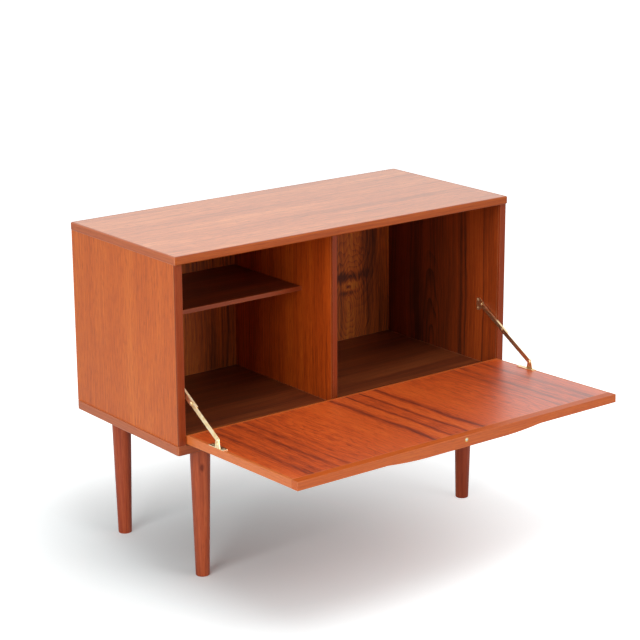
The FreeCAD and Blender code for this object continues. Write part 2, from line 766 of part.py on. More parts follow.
stud_parts = []
insert_parts = []
for number, (label, (x, y)) in enumerate(LEG_PLACES.items(), 1):
    leg(label, x, y)
    stud_parts.append(rod("leg_stud_%d" % number, "stud_diameter", "stud_in_leg + insert_length",
                          (x, y, "leg_height - stud_in_leg")))
    bush = rod("leg_bush_%d" % number, "insert_diameter", "insert_length", (x, y, "leg_height"))
    bush_bore = rod("leg_bush_bore_%d" % number, "stud_diameter + 2 * fit_clearance",
                    "insert_length + 2 * overrun", (x, y, "leg_height - overrun"))
    insert_parts.append(cut("leg_insert_%d" % number, bush, [bush_bore]))
keep("leg_studs", group("leg_studs", stud_parts))
keep("leg_inserts", group("leg_inserts", insert_parts))

# The flap's own frame is the closed flap with the hinge pin at its origin; this is where
# that frame stands while the flap is open
flap_open = FreeCAD.Placement(Vector(0, size("pin_across"), size("pin_up")),
                              Rotation(Vector(1, 0, 0), 90 - size("flap_rise")))


def keep_on_flap(label, thing):
    thing.Placement = flap_open.multiply(thing.Placement)
    return keep(label, thing)


def flap_board(name, x, z, width, height):
    return board(name, x, "hinge_pin_forward", z, width, "flap_thickness", height)


def whole(name, thing):
    """A wrapper that can be moved as a whole while the piece inside keeps its bound place."""
    return group(name, [thing])


def foot_screws(sign):
    x = "%s(%s - foot_width / 2)" % (sign, EAR_OUT)
    y = "%s + stay_plate_thickness" % FLAP_IN
    return [(x, y, "%s + foot_screw_inset" % FOOT_LOW),
            (x, y, "%s + foot_length - foot_screw_inset" % FOOT_LOW)]


FOOT_SCREWS = foot_screws("-") + foot_screws("")

# Flap panel and its four edge strips
panel_low = "hinge_gap / 2 + lipping_width"
panel_high = "%s - pull_rail_width" % FLAP_TOP
panel_height = "%s - (%s)" % (panel_high, panel_low)
flap_blank = flap_board("flap_blank", "-%s + lipping_width" % HALF_FLAP, panel_low,
                        "%s - 2 * lipping_width" % FLAP_WIDTH, panel_height)
keep_on_flap("flap_panel", cut("flap_panel", flap_blank,
             screw_holes("flap_hinge_hole", "hinge", FLAP_LEAF_SCREWS, "+z")
             + screw_holes("flap_foot_hole", "stay", FOOT_SCREWS, "-y")))

lower_strip = flap_board("flap_lower_strip", "-%s" % HALF_FLAP, "hinge_gap / 2",
                         FLAP_WIDTH, "lipping_width")
flap_notches = [rod("flap_barrel_notch_%s" % side, "hinge_barrel_diameter + 2 * hinge_barrel_room",
                    "hinge_length + 2 * hinge_barrel_room",
                    ("%s - hinge_length / 2 - hinge_barrel_room" % centre, "0", "0"), "+x")
                for side, centre in HINGE_SIDES.items()]
keep_on_flap("flap_bottom_lipping", cut(
    "flap_bottom_lipping", lower_strip,
    flap_notches + screw_holes("strip_hinge_hole", "hinge", FLAP_LEAF_SCREWS, "+z")))


def flap_side_strip(side, sign):
    x = "-%s" % HALF_FLAP if sign == "-" else "%s - lipping_width" % HALF_FLAP
    strip = flap_board("flap_%s_strip" % side, x, panel_low, "lipping_width", panel_height)

    def outer(edge, limits):
        edge_x = limits.XMin if sign == "-" else limits.XMax
        return runs_along(edge, "z") and near(middle(edge).x, edge_x)
    soften(strip, "small_arris_radius", outer, "flap_%s_arris" % side)
    name = "flap_%s_lipping" % side
    letter = "-" if sign == "-" else ""
    keep_on_flap(name, cut(name, strip, screw_holes(name + "_hole", "stay", foot_screws(letter),
                                                    "-y")))


flap_side_strip("left", "-")
flap_side_strip("right", "+")


# The rail along the flap's free edge, with the finger pull worked on its outer face
def pull_rail():
    rail = flap_board("rail_strip", "-%s" % HALF_FLAP, panel_high, FLAP_WIDTH, "pull_rail_width")
    soften(rail, "small_arris_radius",
           lambda edge, limits: runs_along(edge, "x") and near(middle(edge).z, limits.ZMax),
           "rail_arris")
    section = new_body("pull_section")
    lip_out = "hinge_pin_forward - pull_projection"
    inside = "hinge_pin_forward + overrun"
    low = "%s - pull_height" % FLAP_TOP
    lip_low = "%s - pull_lip_height" % FLAP_TOP
    profile = sketch_on(section, "pull_profile", "YZ_Plane")
    face_y = size("hinge_pin_forward")
    y_low = face_y - size("pull_projection")
    y_in = face_y + size("overrun")
    z_high = size("flap_top")
    z_lip = z_high - size("pull_lip_height")
    z_low = z_high - size("pull_height")
    corners = [Vector(y_low, z_lip, 0), Vector(y_low, z_high, 0), Vector(y_in, z_high, 0),
               Vector(y_in, z_low, 0), Vector(face_y, z_low, 0)]
    for start, end in zip(corners[:-1], corners[1:]):
        profile.addGeometry(Part.LineSegment(start, end), False)
    for i in range(3):
        profile.addConstraint(Sketcher.Constraint("Coincident", i, 2, i + 1, 1))
    fix_point(profile, 0, 1, lip_out, lip_low)
    fix_point(profile, 1, 1, lip_out, FLAP_TOP)
    fix_point(profile, 2, 1, inside, FLAP_TOP)
    fix_point(profile, 3, 1, inside, low)
    fix_point(profile, 3, 2, "hinge_pin_forward", low)
    doc.recompute()
    lip = profile.Geometry[0].StartPoint
    toe = profile.Geometry[3].EndPoint
    radius = size("pull_cove_radius")
    half = (toe - lip).Length / 2
    normal = Vector(-(toe - lip).y, (toe - lip).x, 0).normalize()
    centre = (lip + toe) / 2 - normal * math.sqrt(radius ** 2 - half ** 2)
    first = math.atan2(lip.y - centre.y, lip.x - centre.x)
    last = math.atan2(toe.y - centre.y, toe.x - centre.x)
    arc = Part.ArcOfCircle(Part.Circle(centre, Vector(0, 0, 1), radius), min(first, last),
                           max(first, last))
    cove = profile.addGeometry(arc, False)
    lip_end, toe_end = (1, 2) if first < last else (2, 1)
    profile.addConstraint(Sketcher.Constraint("Coincident", cove, lip_end, 0, 1))
    profile.addConstraint(Sketcher.Constraint("Coincident", cove, toe_end, 3, 2))
    curve = profile.addConstraint(Sketcher.Constraint("Radius", cove, radius))
    bind(profile, "Constraints[%d]" % curve, "pull_cove_radius")
    pad(section, profile, "pull_length + 2 * overrun", "pull_pad")
    place(section, "-pull_length / 2 - overrun", "0", "0")
    soften(section, "small_arris_radius",
           lambda edge, limits: runs_along(edge, "x") and near(middle(edge).y, limits.YMin),
           "pull_arris")
    plan = new_body("pull_plan")
    outline = sketch_on(plan, "pull_outline", "XY_Plane")
    flat = size("pull_flat_length") / 2
    end = size("pull_length") / 2
    y_deep = y_in + size("overrun")
    deep = "%s + overrun" % inside
    sweep = ((end - flat) ** 2 + (face_y - y_low) ** 2) / (2 * (face_y - y_low))
    turn = math.asin((end - flat) / sweep)
    down = -math.pi / 2
    z_axis = Vector(0, 0, 1)

    def bow(x, first, last):
        circle = Part.Circle(Vector(x, y_low + sweep, 0), z_axis, sweep)
        outline.addGeometry(Part.ArcOfCircle(circle, first, last), False)

    def line(first, last):
        outline.addGeometry(Part.LineSegment(first, last), False)
    line(Vector(-flat, y_low, 0), Vector(flat, y_low, 0))
    bow(flat, down, down + turn)
    line(Vector(end, face_y, 0), Vector(end, y_deep, 0))
    line(Vector(end, y_deep, 0), Vector(-end, y_deep, 0))
    line(Vector(-end, y_deep, 0), Vector(-end, face_y, 0))
    bow(-flat, down - turn, down)
    for joined in ((0, 2, 1, 1), (1, 2, 2, 1), (2, 2, 3, 1), (3, 2, 4, 1), (4, 2, 5, 1),
                   (5, 2, 0, 1)):
        outline.addConstraint(Sketcher.Constraint("Coincident", *joined))
    fix_point(outline, 0, 1, "-pull_flat_length / 2", lip_out)
    fix_point(outline, 0, 2, "pull_flat_length / 2", lip_out)
    fix_point(outline, 2, 1, "pull_length / 2", "hinge_pin_forward")
    fix_point(outline, 2, 2, "pull_length / 2", deep)
    fix_point(outline, 4, 1, "-pull_length / 2", deep)
    fix_point(outline, 4, 2, "-pull_length / 2", "hinge_pin_forward")
    for arc_number, way in ((1, "pull_flat_length / 2"), (5, "-pull_flat_length / 2")):
        now = outline.getPoint(arc_number, 3)
        centre_x = outline.addConstraint(Sketcher.Constraint("DistanceX", -1, 1, arc_number, 3,
                                                             now.x))
        bind(outline, "Constraints[%d]" % centre_x, way)
    pad(plan, outline, "pull_height + 2 * overrun", "pull_plan_pad")
    place(plan, "0", "0", "%s - overrun" % low)
    lip_form = common("pull_lip", section, plan)
    return fuse("rail_with_pull", [rail, lip_form])


catch_hole = rod("catch_hole", "catch_diameter + 2 * fit_clearance",
                 "catch_length + dowel_end_room + overrun",
                 ("0", CATCH_Y, "%s - catch_length - dowel_end_room" % FLAP_TOP))
keep_on_flap("flap_top_lipping", cut("flap_top_lipping", pull_rail(), [catch_hole]))

# Ball catch: a brass barrel with a narrowed mouth, a steel ball and its spring
catch_tube = rod("catch_tube", "catch_diameter", "catch_length",
                 ("0", CATCH_Y, "%s - catch_length" % FLAP_TOP))
SPRING_LOW = "(%s - catch_length + catch_wall_end)" % FLAP_TOP
SPRING_HIGH = "(%s - catch_ball_diameter / 2)" % BALL_Z
catch_room = rod("catch_room", "catch_bore", "catch_length - catch_wall_end - catch_mouth_depth",
                 ("0", CATCH_Y, SPRING_LOW))
catch_mouth = rod("catch_mouth", "catch_mouth_diameter", "catch_mouth_depth + 2 * overrun",
                  ("0", CATCH_Y, "%s - catch_mouth_depth - overrun" % FLAP_TOP))
keep_on_flap("catch_barrel", cut("catch_barrel", catch_tube, [catch_room, catch_mouth]))
keep_on_flap("catch_ball", whole("catch_ball", ball("steel_ball", "catch_ball_diameter",
                                                    ("0", CATCH_Y, BALL_Z))))
coil_path = doc.addObject("Part::Helix", "coil_path")
bind(coil_path, "Radius", "(catch_spring_diameter - catch_spring_wire) / 2")
bind(coil_path, "Height", "%s - %s - catch_spring_wire" % (SPRING_HIGH, SPRING_LOW))
bind(coil_path, "Pitch", "(%s - %s - catch_spring_wire) / catch_spring_turns"
     % (SPRING_HIGH, SPRING_LOW))
coil_wire = doc.addObject("Part::Circle", "coil_wire")
bind(coil_wire, "Radius", "catch_spring_wire / 2")
coil_wire.Placement = FreeCAD.Placement(Vector(), TURNS["-y"])
bind(coil_wire, "Placement.Base.x", "(catch_spring_diameter - catch_spring_wire) / 2")
doc.recompute()
coil = doc.addObject("Part::Sweep", "coil")
coil.Sections = [coil_wire]
coil.Spine = (coil_path, ["Edge%d" % (i + 1) for i in range(len(coil_path.Shape.Edges))])
coil.Solid = True
coil.Frenet = True
place(coil, "0", CATCH_Y, "%s + catch_spring_wire / 2" % SPRING_LOW)
keep_on_flap("catch_spring", whole("catch_spring", coil))

# Butt hinges: a leaf on the flap's lower edge and one on the bottom panel, both in the gap
# between them, and a pin through their knuckles
KNUCKLES = int(size("hinge_knuckle_count"))


def knuckle_rods(name, centre, at_y, at_z, wanted, diameter, extra):
    """Lengths of barrel for the wanted knuckles, each longer at both ends by the extra."""
    pitch = "hinge_length / hinge_knuckle_count"
    return [rod("%s_%d" % (name, i), diameter, "%s + 2 * (%s)" % (pitch, extra),
                ("%s - hinge_length / 2 + %d * %s - (%s)" % (centre, i, pitch, extra), at_y, at_z),
                "+x") for i in range(KNUCKLES) if i % 2 == wanted]


def hinge_leaf(name, centre, at_y, at_z, leaf_z, wanted, holes):
    plate = box(name + "_plate", "%s - hinge_length / 2" % centre, at_y, leaf_z, "hinge_length",
                "hinge_leaf_reach", "hinge_leaf_thickness")
    blank = fuse(name + "_blank", [plate] + knuckle_rods(
        name + "_knuckle", centre, at_y, at_z, wanted, "hinge_barrel_diameter",
        "-hinge_knuckle_gap / 2"))
    room = knuckle_rods(name + "_room", centre, at_y, at_z, 1 - wanted,
                        "hinge_barrel_diameter + 2 * hinge_barrel_room", "hinge_knuckle_gap / 2")
    bore = rod(name + "_bore", "hinge_pin_diameter + 2 * fit_clearance",
               "hinge_length + 2 * overrun",
               ("%s - hinge_length / 2 - overrun" % centre, at_y, at_z), "+x")
    return cut(name, blank, room + [bore] + holes)


for side, centre in HINGE_SIDES.items():
    own = slice(0, 3) if side == "left" else slice(3, 6)
    name = side + "_hinge_carcass_leaf"
    keep(name, hinge_leaf(name, centre, PIN_Y, PIN_Z, BOTTOM_TOP, 0, screw_holes(
        name + "_hole", "hinge", BOTTOM_LEAF_SCREWS[own], "-z")))
    name = side + "_hinge_flap_leaf"
    keep_on_flap(name, hinge_leaf(name, centre, "0", "0", "hinge_gap / 2 - hinge_leaf_thickness",
                                  1, screw_holes(name + "_hole", "hinge",
                                                 FLAP_LEAF_SCREWS[own], "+z")))
keep("hinge_pins", group("hinge_pins", [
    rod(side + "_hinge_pin", "hinge_pin_diameter", "hinge_length",
        ("%s - hinge_length / 2" % centre, PIN_Y, PIN_Z), "+x")
    for side, centre in HINGE_SIDES.items()]))
keep("hinge_carcass_screws", group("hinge_carcass_screws", screws(
    "hinge_carcass_screw", "hinge", BOTTOM_LEAF_SCREWS, "-z")))
keep_on_flap("hinge_flap_screws", group("hinge_flap_screws", screws(
    "hinge_flap_screw", "hinge", FLAP_LEAF_SCREWS, "+z")))

# Folding stays. While the flap is open both links lie in one line from the flap bracket's
# pivot up to the side bracket's pivot, which sets the lower link's length
foot_pivot = Vector(0, size("flap_inner_face") + size("stay_ear_height"), size("stay_reach"))
lower_pivot = flap_open.multVec(foot_pivot)
side_pivot = Vector(0, size("side_front") + size("stay_pivot_setback"),
                    size("bottom_top") + size("stay_pivot_height"))
stretch = side_pivot - lower_pivot
derive("lower_link_length", stretch.Length - size("upper_link_length"))
slope = math.degrees(math.atan2(stretch.z, stretch.y))
elbow = lower_pivot + stretch.normalize() * size("lower_link_length")

WEB_IN = "(%s - stay_plate_thickness)" % EAR_OUT
LOWER_OUT = "(%s - stay_gap)" % WEB_IN
LOWER_IN = "(%s - stay_plate_thickness)" % LOWER_OUT
FLANGE_LOW = "(link_width / 2 + stay_gap)"


def across(sign, inner, outer):
    """Where a plate that lies between two distances from the middle starts."""
    return inner if sign == "+" else "-(%s)" % outer


def plate_slot(name, sign, inner, outer, length, width):
    body = new_body(name)
    outline = slot(body, name + "_outline", "YZ_Plane", length, width, across(sign, inner, outer))
    pad(body, outline, "%s - %s" % (outer, inner), name + "_pad")
    return body


def plate_polygon(name, sign, inner, outer, points):
    body = new_body(name)
    outline = polygon(body, name + "_outline", "YZ_Plane", points, across(sign, inner, outer))
    pad(body, outline, "%s - %s" % (outer, inner), name + "_pad")
    return body


def pivot_bore(name, y, z, diameter="rivet_diameter"):
    return rod(name, "%s + 2 * fit_clearance" % diameter, "2 * %s" % SIDE_IN,
               ("-%s" % SIDE_IN, y, z), "+x")


def rivet(name, sign, inner, outer, y, z, heads, diameter="rivet_diameter",
          head="rivet_head_diameter"):
    """Rivet between two distances from the middle, with rounded heads at the named ends."""
    towards = "+x" if sign == "+" else "-x"
    letter = "" if sign == "+" else "-"
    parts = [rod(name + "_shank", diameter, "%s - %s" % (outer, inner),
                 ("%s(%s)" % (letter, inner), y, z), towards)]
    for end in heads:
        body = new_body("%s_%s_head" % (name, end))
        disc = sketch_on(body, "%s_%s_head_outline" % (name, end), "XY_Plane")
        start = size("rivet_head_diameter") / 2
        disc.addGeometry(Part.Circle(Vector(), Vector(0, 0, 1), start), False)
        disc.addConstraint(Sketcher.Constraint("Coincident", 0, 3, -1, 1))
        radius = disc.addConstraint(Sketcher.Constraint("Radius", 0, start))
        bind(disc, "Constraints[%d]" % radius, "%s / 2" % head)
        pad(body, disc, "rivet_head_height", "%s_%s_head_pad" % (name, end))
        soften(body, "rivet_head_height * rivet_crown_share", at_level("ZMax"),
               "%s_%s_crown" % (name, end))
        outward = end == "outer"
        body.Placement = FreeCAD.Placement(Vector(), TURNS[towards if outward else
                                                           ("-x" if sign == "+" else "+x")])
        place(body, "%s(%s)" % (letter, outer if outward else inner), y, z)
        parts.append(body)
    return fuse(name, parts)


def at_elbow(label, thing):
    thing.Placement = FreeCAD.Placement(elbow, Rotation(Vector(1, 0, 0), slope))
    return keep(label, thing)


for side, sign in (("left", "-"), ("right", "+")):
    name = side + "_upper_link"
    web = plate_slot(name + "_web", sign, WEB_IN, EAR_OUT, "upper_link_length", "link_width")
    riser = plate_polygon(name + "_riser", sign, WEB_IN, EAR_OUT, [
        ("0", "0"), ("upper_link_length", "0"),
        ("upper_link_length - link_width / 2", "%s + stay_plate_thickness" % FLANGE_LOW),
        ("-link_width / 2", "%s + stay_plate_thickness" % FLANGE_LOW)])
    flange = plate_polygon(name + "_flange", sign, "(%s - stop_flange_width)" % EAR_OUT, EAR_OUT, [
        ("-stop_tab_length", FLANGE_LOW), ("upper_link_length - link_width / 2", FLANGE_LOW),
        ("upper_link_length - link_width / 2", "%s + stay_plate_thickness" % FLANGE_LOW),
        ("-stop_tab_length", "%s + stay_plate_thickness" % FLANGE_LOW)])
    at_elbow(name, cut(name, fuse(name + "_form", [web, riser, flange]), [
        pivot_bore(name + "_elbow_bore", "0", "0"),
        pivot_bore(name + "_side_bore", "upper_link_length", "0")]))
    name = side + "_lower_link"
    bar = plate_slot(name + "_bar", sign, LOWER_IN, LOWER_OUT, "lower_link_length", "link_width")
    place(bar, "0", "-lower_link_length", "0")
    at_elbow(name, cut(name, bar, [
        pivot_bore(name + "_elbow_bore", "0", "0"),
        pivot_bore(name + "_foot_bore", "-lower_link_length", "0")]))
    at_elbow(side + "_link_rivets", group(side + "_link_rivets", [
        rivet(side + "_elbow_rivet", sign, LOWER_IN, EAR_OUT, "0", "0", ("inner", "outer")),
        rivet(side + "_side_rivet", sign, WEB_IN, EAR_OUT, "upper_link_length", "0",
              ("inner",))]))

    # Side bracket with its half of the rivet, and the bracket on the flap
    name = side + "_stay_side_bracket"
    margin = "side_plate_margin"
    reach = "side_plate_screw_back"
    tall = "(side_plate_screw_spacing / 2 + %s)" % margin
    plate = plate_polygon(name + "_plate", sign, SIDE_PLATE_IN, SIDE_IN, [
        ("-%s" % margin, "-%s" % margin), ("%s - %s" % (reach, margin), "-%s" % tall),
        ("%s + %s" % (reach, margin), "-%s" % tall), ("%s + %s" % (reach, margin), tall),
        ("%s - %s" % (reach, margin), tall), ("-%s" % margin, margin)])
    soften(plate, "side_plate_margin / 2", lambda edge, limits: runs_along(edge, "x"),
           name + "_corners")
    place(plate, "0", PIVOT_Y, PIVOT_Z)
    letter = "-" if sign == "-" else ""
    keep(name, cut(name, plate, [pivot_bore(name + "_bore", PIVOT_Y, PIVOT_Z)] + screw_holes(
        name + "_hole", "stay", side_plate_screws(letter), sign + "x")))
    name = side + "_stay_flap_bracket"
    foot = box(name + "_foot", across(sign, "(%s - foot_width)" % EAR_OUT, EAR_OUT), FLAP_IN,
               FOOT_LOW, "foot_width", "stay_plate_thickness", "foot_length")
    ear_y = "(%s + stay_ear_height)" % FLAP_IN
    ear = plate_polygon(name + "_ear", sign, WEB_IN, EAR_OUT, [
        (FLAP_IN, "stay_reach + link_width / 2 + ear_flare"),
        (FLAP_IN, "stay_reach - link_width / 2 - ear_flare"),
        (ear_y, "stay_reach - link_width / 2"), (ear_y, "stay_reach + link_width / 2")])
    crown = rod(name + "_crown", "link_width", "stay_plate_thickness",
                ("%s%s" % ("" if sign == "+" else "-", WEB_IN), ear_y, "stay_reach"), sign + "x")
    bores = [pivot_bore(name + "_bore", ear_y, "stay_reach"),
             pivot_bore(name + "_small_bore", "%s - ear_rivet_drop" % ear_y, "stay_reach",
                        "ear_rivet_diameter")]
    keep_on_flap(name, cut(name, fuse(name + "_form", [foot, ear, crown]), bores + screw_holes(
        name + "_hole", "stay", foot_screws(letter), "-y")))
    keep_on_flap(side + "_stay_flap_rivets", group(side + "_stay_flap_rivets", [
        rivet(side + "_foot_rivet", sign, LOWER_IN, EAR_OUT, ear_y, "stay_reach",
              ("inner", "outer")),
        rivet(side + "_small_rivet", sign, WEB_IN, EAR_OUT, "%s - ear_rivet_drop" % ear_y,
              "stay_reach", ("outer",), "ear_rivet_diameter",
              "rivet_head_diameter * small_head_share")]))

keep("stay_pivot_stubs", group("stay_pivot_stubs", [
    rod(side + "_pivot_stub", "rivet_diameter", "stay_plate_thickness",
        ("%s%s" % (letter, SIDE_PLATE_IN), PIVOT_Y, PIVOT_Z), towards)
    for side, letter, towards in (("left", "-", "-x"), ("right", "", "+x"))]))
keep("stay_side_screws", group("stay_side_screws", screws(
    "left_stay_side_screw", "stay", side_plate_screws("-"), "-x") + screws(
    "right_stay_side_screw", "stay", side_plate_screws(""), "+x")))
keep_on_flap("stay_flap_screws", group("stay_flap_screws", screws(
    "stay_flap_screw", "stay", FOOT_SCREWS, "-y")))

# Check every object and piece, then write the pieces out
doc.recompute()
for thing in doc.Objects:
    if any(word in thing.State for word in ("Invalid", "Error")):
        raise RuntimeError("%s has not been built: %s" % (thing.Label, thing.State))
    if thing.TypeId in ("Part::MultiCommon", "Part::MultiFuse", "Part::Cut"):
        if not thing.Shape.Volume > 0:
            raise RuntimeError("%s came out empty" % thing.Label)
for label, thing in NODES.items():
    shape = thing.Shape
    if shape.isNull() or not shape.isValid():
        raise RuntimeError("shape of %s is not usable" % label)
    shape.exportStep("parts/%s.step" % label)
print("%d pieces" % len(NODES))
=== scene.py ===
import math

import bmesh
import bpy
from mathutils import Matrix, Vector


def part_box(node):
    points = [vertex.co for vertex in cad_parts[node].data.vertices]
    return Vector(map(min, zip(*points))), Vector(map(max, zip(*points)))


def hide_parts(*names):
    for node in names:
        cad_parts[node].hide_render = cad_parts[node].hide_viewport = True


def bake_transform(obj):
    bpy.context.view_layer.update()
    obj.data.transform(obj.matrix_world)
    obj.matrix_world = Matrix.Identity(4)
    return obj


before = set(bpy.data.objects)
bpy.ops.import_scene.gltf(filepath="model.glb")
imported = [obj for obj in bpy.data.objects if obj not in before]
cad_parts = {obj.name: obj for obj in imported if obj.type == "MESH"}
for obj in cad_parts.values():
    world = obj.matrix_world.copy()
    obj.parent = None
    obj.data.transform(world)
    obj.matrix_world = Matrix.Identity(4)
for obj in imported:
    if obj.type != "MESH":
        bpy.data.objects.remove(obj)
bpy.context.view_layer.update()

MM = 0.001
WHITE = [1.0, 1.0, 1.0, 1.0]

# Middle of the carcass from front to back; the open flap puts it behind the origin
CARCASS_Y = (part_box("top_front_lipping")[0][1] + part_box("top_back_lipping")[1][1]) / 2


# Colours and shader nodes
def colour(hex_code):
    """Turn an sRGB hex colour to linear, with full alpha."""
    values = [int(hex_code[i:i + 2], 16) / 255 for i in (0, 2, 4)]
    return [v / 12.92 if v <= 0.04045 else ((v + 0.055) / 1.055) ** 2.4 for v in values] + [1.0]


def grey(level):
    """A ramp's colour that stands for a plain number."""
    return [level, level, level, 1.0]


def node(tree, kind, *values, stops=(), **settings):
    """Add a shader node and return it. Values go to its inputs in order. A setting is one of
    the node's own options or an input's name, with _ for a space. A node given as a value
    stands for its output."""
    made = tree.nodes.new("ShaderNode" + kind)
    named = []
    for key, value in settings.items():
        if hasattr(made, key):
            setattr(made, key, value)
        else:
            named.append((made.inputs[key.replace("_", " ")], value))
    in_order = zip([socket for socket in made.inputs if socket.enabled], values)
    for socket, value in list(in_order) + named:
        if isinstance(value, bpy.types.Node):
            value = [output for output in value.outputs if output.enabled][0]
        if isinstance(value, bpy.types.NodeSocket):
            tree.links.new(value, socket)
        elif value is not None:
            socket.default_value = value
    for number, (place, shade) in enumerate(stops):
        elements = made.color_ramp.elements
        element = elements[number] if number < 2 else elements.new(place)
        element.position = place
        element.color = shade
    return made


def new_material(name):
    material = bpy.data.materials.new(name)
    material.use_nodes = True
    material.node_tree.nodes.clear()
    return material, material.node_tree


# Lengths and widths of the parts of the grain, in millimetres
BEND_MM = (330, 240)
RIPPLE_MM = (70, 40)
BAND_LENGTH_MM = 800
STREAK_LENGTH_MM = 260
FIBRE_LENGTH_MM = 45
RING_WAVE_MM = (120, 40)
RUBBED_AND_HIGHLIT_PATCH_MM = (60, 25)
ARRIS_MM = 1.6
# A teak pore is 0.3 mm wide; it is drawn as wide as it needs to show in the render
PORE_MM = (24, 1.8)
PORE_STAIN = "AD8C7C"
# Pale wood laid on the arrises: partly rubbed wear, partly a painted highlight
RUBBED_AND_HIGHLIT_WOOD = "F0B888"
RUBBED_AND_HIGHLIT_SHARE = 0.55


def teak(name, tones, along, across, origin=(0, 0, 0), profile=None, bookmatch=False,
         wander_mm=6, bands=(50, 0.5), streaks=(4, 0.6), fibres=(1.1, 0.35), dashes=0.35,
         cathedrals=(), roughness=0.36, ior=1.45, coat=0.0, seed=0.0):
    """Oiled or lacquered teak, sliced so that its grain runs along one axis of the board.

    Tones run from the dark late wood to the light early wood. The profile gives the tone
    across the leaf by its distance in millimetres from the origin. Bands, streaks and fibres
    are given by their width in millimetres and their depth. A cathedral is (along, across,
    half length, half width, rings, depth), in millimetres from the origin. One with no rings
    is a soft blot, dark, or light where its depth is below zero.
    """
    material, tree = new_material(name)
    place = node(tree, "Mapping", node(tree, "TexCoord").outputs["Object"],
                 [-value for value in origin])
    axes = node(tree, "SeparateXYZ", place)
    long_way = axes.outputs[along]
    wide_way = axes.outputs[across]
    if bookmatch:
        wide_way = node(tree, "Math", wide_way, operation="ABSOLUTE")
    depth_way = axes.outputs[[axis for axis in "XYZ" if axis not in (along, across)][0]]

    def grain(wide, size_mm, shift, detail):
        """Noise drawn out along the grain. The shift keeps one part's noise from another's."""
        length, width = (value * MM for value in size_mm)
        vector = node(tree, "CombineXYZ", long_way, wide, depth_way)
        spread = node(tree, "Mapping", vector, [shift + seed, shift * 1.7 + seed, shift * 2.3],
                      Scale=(1 / length, 1 / width, 1 / width))
        return node(tree, "TexNoise", spread, Scale=1.0, Detail=detail, Roughness=0.55)

    # The fibres wander to the side along the board, in long bends and short ripples
    bends = node(tree, "Math", grain(wide_way, BEND_MM, 3.1, 1.0), 4 * wander_mm * MM,
                 -2.6 * wander_mm * MM, operation="MULTIPLY_ADD")
    ripples = node(tree, "Math", grain(wide_way, RIPPLE_MM, 5.3, 2.0), 1.2 * wander_mm * MM,
                   bends, operation="MULTIPLY_ADD")
    wide = node(tree, "Math", wide_way, ripples, operation="ADD")

    # Noise is 0.5 on average, so this keeps the middle tone at 0.5
    tone = 0.5 - (bands[1] + streaks[1] + fibres[1]) / 2
    if profile:
        start = profile[0][0]
        reach = profile[-1][0] - start
        spot = node(tree, "Math", wide, 1 / (reach * MM), -start / reach,
                    operation="MULTIPLY_ADD")
        leaf = node(tree, "ValToRGB", spot, stops=[
            ((at - start) / reach, grey(level)) for at, level in profile])
        tone = node(tree, "Math", leaf, tone - 0.5, operation="ADD")
    fibre = grain(wide, (FIBRE_LENGTH_MM, fibres[0]), 11.0, 2.0)
    for layer, depth in (
            (grain(wide, (BAND_LENGTH_MM, bands[0]), 41.0, 1.0), bands[1]),
            (grain(wide, (STREAK_LENGTH_MM, streaks[0]), 23.0, 3.0), streaks[1]),
            (fibre, fibres[1])):
        tone = node(tree, "Math", layer, depth, tone, operation="MULTIPLY_ADD")

    # Cathedral figure: late wood shows as thin dark arches, nested around a point of the leaf
    for at_long, at_wide, half_long, half_wide, rings, depth in cathedrals:
        spot = node(tree, "CombineXYZ", long_way, wide)
        round_it = node(tree, "Mapping", spot, (-at_long / half_long, -at_wide / half_wide, 0),
                        Scale=(1 / (half_long * MM), 1 / (half_wide * MM), 0))
        distance = node(tree, "VectorMath", round_it, operation="LENGTH")
        uneven = node(tree, "Math", grain(wide, RING_WAVE_MM, 71.0 + at_wide, 1.0), 0.6,
                      distance, operation="MULTIPLY_ADD")
        if rings:
            ring = node(tree, "Math", node(tree, "Math", uneven, rings, operation="MULTIPLY"),
                        operation="FRACT")
            late = node(tree, "Math", ring, 3.0, operation="POWER")
            fade = node(tree, "MapRange", distance, 0.9, 1.7, depth, 0.0,
                        interpolation_type="SMOOTHSTEP")
            darker = node(tree, "Math", late, fade, operation="MULTIPLY")
        else:
            darker = node(tree, "MapRange", uneven, 0.3, 1.2, depth, 0.0,
                          interpolation_type="SMOOTHSTEP")
        tone = node(tree, "Math", tone, darker, operation="SUBTRACT")

    shade = node(tree, "ValToRGB", tone, stops=[
        (0.10, colour(tones[0])), (0.50, colour(tones[1])), (0.90, colour(tones[2]))])
    pore = node(tree, "MapRange", grain(wide, PORE_MM, 57.0, 1.0), 0.56, 0.70, 0.0, dashes)
    wood = node(tree, "Mix", pore, shade, colour(PORE_STAIN), data_type="RGBA",
                blend_type="MULTIPLY")

    # Hands and cloths have rubbed the arrises to a paler, duller wood, more in some places; the
    # pale colour is partly that wear, partly a painted highlight
    rounded = node(tree, "Bevel", ARRIS_MM * MM, samples=6)
    facing = node(tree, "VectorMath", rounded, node(tree, "NewGeometry").outputs["Normal"],
                  operation="DOT_PRODUCT")
    edge = node(tree, "MapRange", facing, 0.995, 0.90, 0.0, RUBBED_AND_HIGHLIT_SHARE)
    rubbed_and_highlit = node(tree, "Math", edge, grain(wide, RUBBED_AND_HIGHLIT_PATCH_MM, 91.0, 3.0),
                  operation="MULTIPLY")
    worn_and_highlit = node(tree, "Mix", rubbed_and_highlit, wood, colour(RUBBED_AND_HIGHLIT_WOOD), data_type="RGBA")
    height = node(tree, "Math", fibre, pore, operation="SUBTRACT")
    bump = node(tree, "Bump", Height=height, Strength=0.10, Distance=0.0003)
    duller = node(tree, "Math", rubbed_and_highlit, 0.4, roughness - 0.06, operation="MULTIPLY_ADD")
    gloss = node(tree, "Math", fibre, 0.12, duller, operation="MULTIPLY_ADD")
    shader = node(tree, "BsdfPrincipled", Base_Color=worn_and_highlit, Roughness=gloss, IOR=ior,
                  Normal=bump, Coat_Weight=coat, Coat_Roughness=roughness)
    node(tree, "OutputMaterial", shader)
    return material


MARK_WIDTH = 0.3 * MM
MARK_LENGTH = 8 * MM
TARNISH_PATCH = 11 * MM


